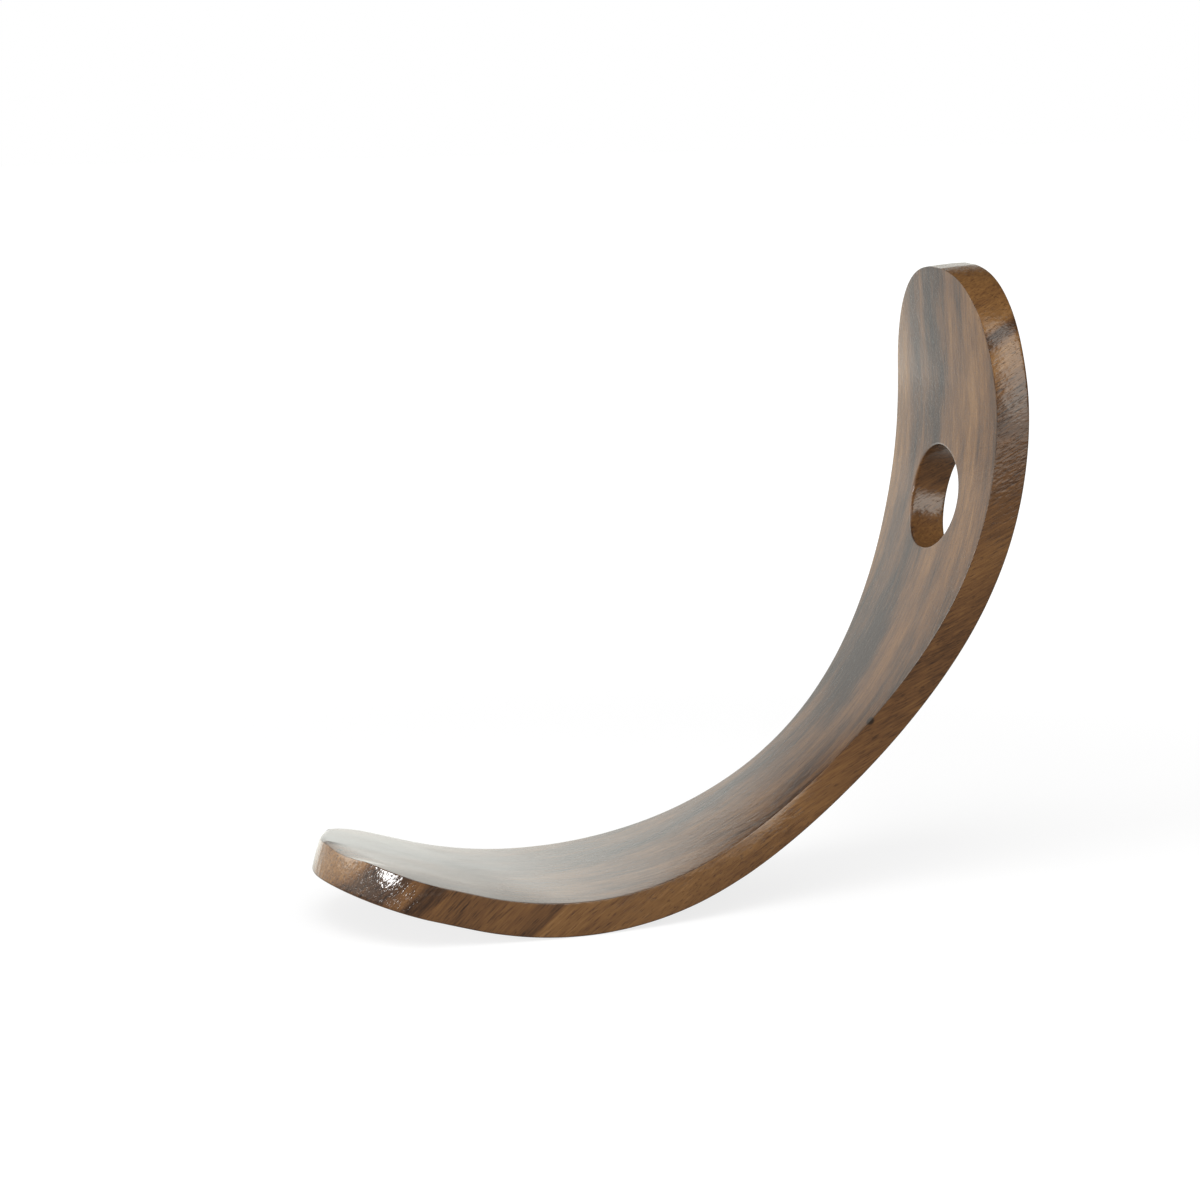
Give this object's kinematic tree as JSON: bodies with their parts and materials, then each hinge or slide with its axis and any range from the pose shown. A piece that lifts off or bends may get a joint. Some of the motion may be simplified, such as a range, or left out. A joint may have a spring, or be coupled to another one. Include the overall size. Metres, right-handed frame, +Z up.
{
  "type": "balancing wine bottle holder",
  "caption": "Curved wooden board with a round hole for a bottle's neck; the bottle's weight balances it on its rounded base.",
  "frame": {"origin": "middle of the flat strip under the board's base, on which it stands, at the pictured attitude", "axes": "+Z up, +X from the rounded foot towards the tall back with the neck hole, +Y across the board, whose mirror plane is Y = 0"},
  "size_m": [0.2394, 0.0834, 0.2154],
  "materials": {
    "hardwood": "dark striped tropical hardwood, sanded and glossy lacquered"
  },
  "bodies": {
    "root": {"curved_stand": "hardwood"}
  },
  "joints": []
}
